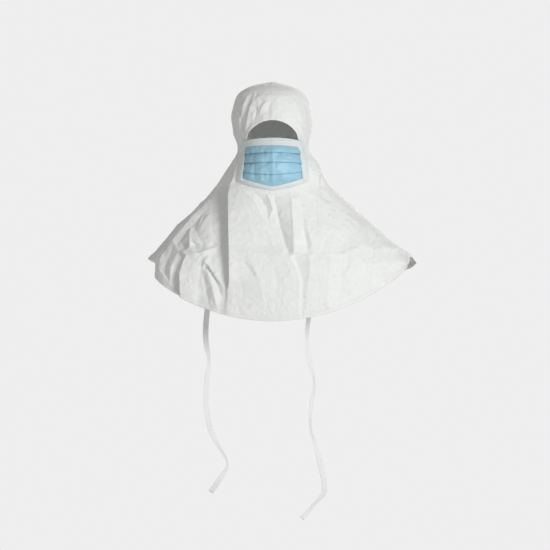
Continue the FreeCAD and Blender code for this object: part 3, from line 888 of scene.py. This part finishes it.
def front_faces(shape):
    """The faces of the front of the hood and cape that its openings and seams may cross."""
    found = []
    for face in shape.faces:
        c = face.calc_center_median()
        if c.y < 0 and abs(c.x) < 120 and c.z < -60:
            found.append(face)
    return found


def cut_cloth():
    """The cloth cut into the two side panels and the bib, as a dict of points and faces."""
    shape = master_cloth()
    edge = face_outline()
    cut_along(shape, front_faces(shape), edge + edge[:1])
    for sign in (1, -1):
        cut_along(shape, front_faces(shape), [(sign * x, z) for x, z in BIB_SEAM])
    shape.verts.index_update()
    points = np.array([v.co for v in shape.verts])
    faces = [[v.index for v in f.verts] for f in shape.faces]
    centres = np.array([f.calc_center_median() for f in shape.faces])
    shape.free()
    bib = BIB_SEAM + [(-x, z) for x, z in reversed(BIB_SEAM)]
    front = centres[:, 1] < 0
    open_face = front & inside(edge, centres[:, 0], centres[:, 2])
    on_bib = front & inside(bib, centres[:, 0], centres[:, 2]) & ~open_face
    on_side = ~open_face & ~on_bib
    chosen = {
        "left_hood_panel": on_side & (centres[:, 0] > 0),
        "right_hood_panel": on_side & (centres[:, 0] < 0),
        "front_bib_panel": on_bib,
    }
    panels = {}
    for name, picked in chosen.items():
        kept = [faces[i] for i in np.flatnonzero(picked)]
        used = sorted({i for face in kept for i in face})
        number = {old: new for new, old in enumerate(used)}
        panels[name] = points[used], [[number[i] for i in face] for face in kept]
    return panels


PANEL_SHEETS = {
    "left_hood_panel": ((0.50, 0.66), 0.19),
    "right_hood_panel": ((0.50, 0.66), 0.19),
    "front_bib_panel": ((0.22, 0.31), 0.058),
}


def add_panels():
    for name, (points, faces) in cut_cloth().items():
        slot = "bib_cloth" if "bib" in name else "hood_cloth"
        piece = new_object(name + "_cloth", place(points), faces)
        finish_piece(piece, HOOD, slot, HOOD_CLOTH, name)
        flat, area = PANEL_SHEETS[name]


add_panels()

# ================================================================ tapes sewn to the cloth
# a tape folded round an edge: share of its width from the edge, and stand-off
FOLDED_EDGE = [(1.0, 0.45), (0.8, 0.55), (0.5, 0.5), (0.2, 0.6), (0.05, 0.5), (-0.04, 0.0),
               (0.05, -0.5), (0.2, -0.6), (0.5, -0.5), (0.8, -0.55), (1.0, -0.45)]


STITCH = 2.3, 0.55, 0.28  # length, width and height
SEAM_TAPE_HALF = 4.5  # half a seam tape's width
PATCH_HALF = 11  # half the side of a tie's patch
HEM_LEVEL_STEP = 60  # about how many mm of cloth there are to a level at the hem


def taped(name, points, out, replaced, slot="seam_tape", material=TAPE_CLOTH, closed=False):
    """A strip of tape lying on the folded cloth, over rows of points of the undisturbed cloth."""
    piece = grid_object(name, on_cloth(points, out)[0], closed_columns=closed)
    finish_piece(piece, HOOD, slot, material, replaced)


def folded_edge(name, line_at, width, replaced, closed=False):
    """A tape folded round an edge, where line_at gives the line of points that far from the edge."""
    points = np.array([line_at(width * share) for share, _ in FOLDED_EDGE])
    out = np.array([[stand_off] * points.shape[1] for _, stand_off in FOLDED_EDGE])
    taped(name, points, out, replaced, closed=closed)


def seam_tape_out(share):
    """How far a seam tape stands off the cloth, at a share of its half width."""
    return 0.12 + 0.16 * (1 - share**4)


def beads(name, centres, along, outward, size, slot, material):
    """Small raised domes, such as stitches or weld marks, of that length, width and height."""
    along = unit(along - outward * (along * outward).sum(-1, keepdims=True))
    across = np.cross(outward, along)
    length, width, height = size
    rings = [(1.0, -0.25), (0.8, 0.55), (0.4, 0.92)]
    sides = 8
    shape = [
        (r * math.cos(a) * length / 2, r * math.sin(a) * width / 2, up * height)
        for r, up in rings for a in np.arange(sides) * 2 * math.pi / sides
    ]
    shape = np.array(shape + [(0, 0, height)])
    points = (centres[:, None] + along[:, None] * shape[None, :, :1] + across[:, None] * shape[None, :, 1:2]
              + outward[:, None] * shape[None, :, 2:])
    one = []
    for first in range(0, (len(rings) - 1) * sides, sides):
        for k in range(sides):
            a, b = first + k, first + (k + 1) % sides
            one.append((a, b, b + sides, a + sides))
    top = len(rings) * sides
    one += [(top - sides + k, top - sides + (k + 1) % sides, top) for k in range(sides)]
    faces = [tuple(i + n * len(shape) for i in face) for n in range(len(centres)) for face in one]
    finish_piece(new_object(name, points, faces), HOOD, slot, material)


def stitched(name, line, out, spacing=3.2):
    """Stitches along a line of points of the undisturbed cloth, out mm outside it."""
    seen, square = on_cloth(line, np.full(len(line), out))
    run = run_along(seen)
    at = np.arange(spacing / 2, run[-1], spacing)
    centres, outward = read_at(at, run, seen), unit(read_at(at, run, square))
    beads(name, centres, np.gradient(centres, axis=0), outward, STITCH, "seam_tape", THREAD)


def line_through(points, step):
    """Points about step apart along straight runs between the given ones."""
    points = np.array(points, float)
    run = run_along(points)
    return read_at(np.linspace(0, run[-1], max(int(run[-1] / step), 2)), run, points)


def beside(line, distance):
    """The line moved sideways in its own plane."""
    along = unit(np.gradient(line, axis=0))
    return line + np.stack([along[:, 1], -along[:, 0]], -1) * distance


def add_hem():
    """The folded edge of the cape and its stitches."""
    turn = np.linspace(0, 2 * math.pi, COLUMNS, endpoint=False)
    u = hem_levels(turn)
    per_level = np.linalg.norm(rest(turn, u) - rest(turn, u - 0.01), axis=-1) / 0.01
    folded_edge("hem_tape", lambda up: rest(turn, u - up / per_level), 8, "hem_edge_tape", closed=True)
    stitch_turn = np.linspace(0, 2 * math.pi, 1600)
    stitched("hem_stitches", rest(stitch_turn, hem_levels(stitch_turn) - 6.4 / HEM_LEVEL_STEP), 0.55)


def add_brow():
    """The folded edge over the eyes and its stitches."""
    width = 7

    def line_at(distance):
        return front_point(*brow_arch(150, distance))

    folded_edge("brow_tape", line_at, width, "brow_edge_tape")
    stitched("brow_stitches", line_at(width * 0.78), 0.55)


def add_bib_seams():
    """The tapes over the seams beside the bib, each with two rows of stitches."""
    shares = np.linspace(-1, 1, 13)
    for side, sign in (("left", 1), ("right", -1)):
        line = line_through([(sign * x, z) for x, z in BIB_SEAM[:2] + [(105, -505)]], 2.0)
        line = line[line[:, 1] > hem_height(line[:, 0]) + 1]
        points = np.array([front_point(*beside(line, SEAM_TAPE_HALF * s).T) for s in shares])
        out = np.array([[seam_tape_out(s)] * len(line) for s in shares])
        taped(f"{side}_bib_seam", points, out, f"{side}_bib_seam_tape")
        for k, s in enumerate((-0.55, 0.55)):
            stitched(f"{side}_bib_stitches_{k}", front_point(*beside(line, SEAM_TAPE_HALF * s).T), 0.25)


def add_crown_seam():
    """The tape over the middle seam, from the brow over the crown and down the back to the hem."""
    across = np.linspace(-SEAM_TAPE_HALF, SEAM_TAPE_HALF, 9)
    brow_top = BROW_CENTRE_Z + BROW_FLATNESS * BROW_RADIUS
    up_front = [front_point(across, np.full(9, z)) for z in np.arange(brow_top + 1, -3, 2.0)]
    up_front = [row for row in up_front if row[4, 1] < -32]
    over = []
    for y in np.linspace(-30, 34, 30):
        high = []
        for x in across:
            u = np.linspace(-0.999, 1.5, 400)
            turn = np.full(400, math.atan2(x, y))
            p = rest(turn, u)
            high.append(p[np.argmin(np.hypot(p[:, 0] - x, p[:, 1] - y))])
        over.append(np.array(high))
    down = np.arange(-24, float(hem_height(0)) + 1, -2.5)
    points = np.array(up_front + over + [back_point(across, np.full(9, z)) for z in down])
    out = np.broadcast_to(seam_tape_out(across / SEAM_TAPE_HALF), points.shape[:2])
    taped("crown_seam", points, out, "crown_seam_tape")
    for k, column in enumerate((2, 6)):
        stitched(f"crown_stitches_{k}", points[:, column], 0.25)


def add_nape():
    """The elastic that gathers the nape, in a stitched casing inside the cloth."""
    def band(half_length, width, count):
        x = np.linspace(-half_length, half_length, 110)
        heights = NAPE_Z + np.linspace(-width / 2, width / 2, count)
        return np.array([back_point(x, np.full(len(x), z)) for z in heights])

    casing = band(52, 12, 9)
    out = -1.6 + 0.9 * np.abs(np.linspace(-1, 1, 9))[:, None] ** 6 * np.ones((1, 110))
    taped("nape_casing_tape", casing, out, "nape_casing")
    elastic = band(58, 6, 7)
    taped("nape_elastic_band", elastic, np.full(elastic.shape[:2], -0.75), "nape_elastic", "elastic", ELASTIC)
    for k, row in enumerate((1, 7)):
        stitched(f"nape_stitches_{k}", casing[row], -1.7, spacing=2.8)


def add_patches():
    """The squares of cloth inside the hood that the ties are sewn to."""
    for side, sign in (("left", 1), ("right", -1)):
        y = TIE_SHIFT_Y + np.linspace(-PATCH_HALF, PATCH_HALF, 15)
        z = TIE_TOP_Z - np.linspace(-PATCH_HALF, PATCH_HALF, 15)
        _, half, front, rear = outline(level_at(z))
        along = (y[None, :] - (front + rear)[:, None] / 2) / ((rear - front)[:, None] / 2)
        x = sign * half[:, None] * np.sqrt(1 - along**2)
        points = np.stack([x, np.broadcast_to(y, x.shape), np.broadcast_to(z[:, None], x.shape)], -1)
        across = np.abs(np.linspace(-1, 1, 15))
        edge = np.maximum(across, across[:, None])
        taped(f"{side}_patch", points, -0.75 + 0.5 * edge**8, f"{side}_tie_patch")
        loop = [points[2, 2], points[2, 12], points[12, 12], points[12, 2], points[2, 2], points[12, 12]]
        stitched(f"{side}_patch_stitches", line_through(loop, 1.0), -0.85)


add_hem()
add_brow()
add_bib_seams()
add_crown_seam()
add_nape()
add_patches()

# ================================================================ the pleated mask
# seam lines down the mask: height in the middle, height at the sides, how sharply they bend in the middle
MASK_LINES = {
    "top": (-122, -129, 2.0),
    "blue_top": (-137.5, -143, 2.0),
    "pleat_1": (-152.7, -157, 1.6),
    "pleat_2": (-173.3, -176, 1.6),
    "pleat_3": (-200.4, -192, 1.25),
    "blue_low": (-225.8, -204, 1.3),
    "low": (-233, -214.4, 1.3),
}
TUCK, STEP = 5.5, 4.0  # how much cloth each pleat hides, and how far it stands out
BACKING = 2.1  # how far the outer layer lies outside the smooth face
WELD, WELD_SPACING = (1.7, 1.0, 0.35), 3.0  # a weld mark's length, width and height, and from one to the next
# a pleat's folded edge and the cloth behind it: height above the pleat's line, and stand-off
PLEAT_FOLD = ((1.2, STEP), (0.5, STEP + 0.1), (0, STEP - 0.1), (-0.2, STEP - 0.4), (0.1, STEP - 0.75),
              (1.0, STEP - 0.9), (TUCK * 0.5, 0.45), (TUCK, 0.35), (TUCK + 0.3, 0.2), (TUCK, 0.05),
              (TUCK * 0.5, 0))
# the layers' columns, as shares of the mask's half width
MASK_COLUMNS = np.concatenate([np.linspace(-0.985, -0.03, 44), [0], np.linspace(0.03, 0.985, 44)])


def mask_line(name, share):
    """The height of a seam line at a share of the mask's half width."""
    middle, side, bend = MASK_LINES[name]
    return middle + (side - middle) * np.abs(share) ** bend


def bulge(x, z):
    """How far the nose and chin push the mask out, in a tent with a ridge down the middle."""
    high = 0.35 + 0.65 * smooth(-z, 120, 152) - smooth(-z, 204, 238)
    ridge = np.clip(1 - np.sqrt(x**2 + 2) / 58, 0, 1)
    return high * (9.0 * ridge + 2.5 * np.sqrt(np.clip(1 - (x / 66)**2, 0, 1)))


def mask_points(share, z, out):
    """Points of the mask at a share of its half width, at height z, out mm outside the smooth face."""
    x = share * mask_half_width(np.clip(z, MASK_LOW[1], MASK_TOP[1]))
    base = front_point(x, np.asarray(z))
    fade = smooth(1 - np.abs(share), 0.02, 0.2)
    moved = place(base, out + np.maximum(bulge(x, z), 0) * fade)
    moved[..., 2] = z
    return moved


def pleated_rows(share):
    """Rows of (height, stand-off) for the outer layer, with a folded pleat at each pleat line."""
    top, low = mask_line("top", share) - 2, mask_line("low", share) + 3
    rows = []

    def panel(a, b, out_a, out_b, count):
        for f in np.linspace(0, 1, count, endpoint=False):
            sag = 0.8 * math.sin(math.pi * f)
            rows.append((a + (b - a) * f, out_a + (out_b - out_a) * f + sag))

    start, groove = top, 0
    for name in ("pleat_1", "pleat_2", "pleat_3"):
        line = mask_line(name, share)
        panel(start, line + 1.2, BACKING - groove, BACKING + STEP, 9)
        rows.extend((line + dz, BACKING + o) for dz, o in PLEAT_FOLD)
        rows.append((line - 0.6, BACKING - 1.5 + 0 * share))
        start, groove = line - 2.4, 1.1
    panel(start, low, BACKING - groove, BACKING, 14)
    rows.append((low, BACKING + 0 * share))
    return rows


def add_mask():
    """The pleated outer layer."""
    rows = pleated_rows(MASK_COLUMNS)
    z = np.array([row[0] for row in rows])
    out = np.array([row[1] + 0 * MASK_COLUMNS for row in rows])
    share = np.broadcast_to(MASK_COLUMNS, z.shape)
    at = np.stack([share * 62, np.full(z.shape, 7.0), z], -1)
    within = smooth(mask_line("blue_top", share) - z, 0, 8) * smooth(z - mask_line("blue_low", share), 0, 8)
    free = within * smooth(1 - np.abs(share), 0.14, 0.32)
    puckers = 5.5 * np.abs(noise(at, 19, 31)) + 2.2 * np.abs(noise(at, 9, 37))
    puckers += 1.4 * np.exp(-((share - 0.015) / 0.02)**2)
    out = BACKING + (out - BACKING) * (0.08 + 0.37 * smooth(1 - np.abs(share), 0.02, 0.13) + 0.55 * free)
    outer = grid_object("mask_outer", mask_points(share, z, out + puckers * free))
    finish_piece(outer, HOOD, "mask_blue", MASK_BLUE, "mask_outer_layer")


def add_mask_lining():
    """The filter and inner layers, which aren't pleated."""
    down = np.linspace(0, 1, 44)[:, None]
    for name, stand_off in (("filter", 0.3), ("inner", -0.3)):
        top, low = mask_line("top", MASK_COLUMNS) - 1.5, mask_line("low", MASK_COLUMNS) + 1.5
        z = top + (low - top) * down
        share, out = np.broadcast_to(MASK_COLUMNS, z.shape), stand_off + 0.2 * np.sin(down * 60) + 0 * z
        layer = grid_object(f"mask_{name}", mask_points(share, z, out))
        finish_piece(layer, HOOD, "mask_white", MASK_WHITE, f"mask_{name}_layer")


def mask_strip(name, z_rows, share_rows, out_rows, replaced):
    grid = mask_points(*(np.array(rows, float) for rows in (share_rows, z_rows, out_rows)))
    finish_piece(grid_object(name, grid), HOOD, "mask_white", MASK_WHITE, replaced)


def mask_welds(name, share, z, out):
    """Weld marks pressed along a line on the mask's tapes."""
    points = mask_points(share, z, out)
    run = run_along(points)
    centres = read_at(np.arange(WELD_SPACING / 2, run[-1], WELD_SPACING), run, points)
    outward = normals(*find(centres))
    beads(name, centres, np.gradient(centres, axis=0), outward, WELD, "mask_white", MASK_WHITE)


WIRE_HALF = 46  # half the nose wire's length
WIRE_SPAN = 66  # the half width of mask that its place along the top is measured by
SIDE_TOP_Z, SIDE_LOW_Z = -130, -213
# across the bottom and side tapes from edge to edge: share of the width, and stand-off
BOTTOM_SECTION = ((-0.03, 2.8), (0, 3.6), (0.25, 3.5), (0.5, 3.3), (0.75, 2.8), (0.97, 1.7), (1.12, 0.9),
                  (1.16, 0.3))
SIDE_SECTION = ((-0.1, 0.3), (-0.07, 1.2), (0, 2.4), (0.1, 3.6), (0.3, 4.4), (0.5, 4.6), (0.7, 4.7),
                (0.97, 4.7), (1, 3.4))


def add_mask_top():
    """The band along the top, which the nose wire lifts in a ridge."""
    share = np.linspace(-1, 1, 91)
    top, low = mask_line("top", share), mask_line("blue_top", share)
    over_wire = smooth(WIRE_HALF - np.abs(share * WIRE_SPAN), 0, 5)
    rows_z, rows_out = [], []
    for f in (-0.02, 0.0, 0.06, 0.16, 0.26, 0.34, 0.42, 0.50, 0.58, 0.66, 0.80, 0.92, 1.0, 1.02):
        ridge = 1.1 * np.exp(-((f - 0.42) / 0.09)**2) * over_wire
        edge = 0.9 if 0.02 < f < 0.99 else 0.1
        rows_z.append(top + (low - top) * f)
        rows_out.append(3.8 + edge + ridge + 0.12 * np.sin(share * 33 + f * 5))
    mask_strip("mask_top", rows_z, [share] * len(rows_z), rows_out, "mask_top_band")
    for k, f in enumerate((0.14, 0.86)):
        mask_welds(f"mask_top_welds_{k}", share[1:-1], (top + (low - top) * f)[1:-1], 4.8)


def add_mask_bottom():
    """The tape under the chin."""
    share = np.linspace(-1, 1, 91)
    blue, low = mask_line("blue_low", share), mask_line("low", share)
    rows_z, rows_out = [], []
    for f, out in BOTTOM_SECTION:
        rows_z.append(blue + (low - blue) * f)
        rows_out.append(out + 0.1 * np.sin(share * 41 + f * 4))
    mask_strip("mask_bottom", rows_z, [share] * len(rows_z), rows_out, "mask_bottom_edge_tape")
    for k, f in enumerate((0.3, 0.7)):
        mask_welds(f"mask_bottom_welds_{k}", share[2:-2], (blue + (low - blue) * f)[2:-2], 3.3)


def add_mask_side(side, sign, top_width, low_width):
    """The tape down one side, of that width at its top and low end."""
    down = np.linspace(0, 1, 60)
    z = SIDE_TOP_Z + (SIDE_LOW_Z - SIDE_TOP_Z) * down
    half = mask_half_width(z)
    width = top_width + (low_width - top_width) * down
    rows_share, rows_out = [], []
    for f, out in SIDE_SECTION:
        rows_share.append(sign * (half - 0.3 - width * f) / half)
        rows_out.append(out + 0.25 * np.sin(z * 0.19 + f * 3))
    mask_strip(f"mask_{side}", [z] * len(rows_share), rows_share, rows_out, f"mask_{side}_edge_tape")
    for k, f in enumerate((0.25, 0.75)):
        run = sign * (half - 0.3 - width * f) / half
        mask_welds(f"mask_{side}_welds_{k}", run[1:-1], z[1:-1], 4.5 + 0.25 * np.sin(z[1:-1] * 0.19 + f * 3))


def add_wire():
    """The nose wire: a flat strip of metal with rounded edges, under the top band."""
    x = np.linspace(-WIRE_HALF, WIRE_HALF, 60)
    z = mask_line("top", x / WIRE_SPAN) - 6.7
    ring = []
    for k in range(10):
        a = 2 * math.pi * k / 10
        ring.append((1.7 * math.copysign(abs(math.cos(a)) ** 0.6, math.cos(a)), 0.35 * math.sin(a)))
    z = np.array([z + dz for dz, _ in ring])
    grid = mask_points(x / WIRE_SPAN + 0 * z, z, np.array([[3.0 + out] * len(x) for _, out in ring]))
    piece = grid_object("nose_wire_strip", grid, closed_rows=True)
    finish_piece(piece, HOOD, "nose_wire", WIRE_METAL, "mask_nose_wire")


add_mask()
add_mask_lining()
add_mask_top()
add_mask_bottom()
add_mask_side("left", 1, 14, 13)
add_mask_side("right", -1, 9, 11)
add_wire()
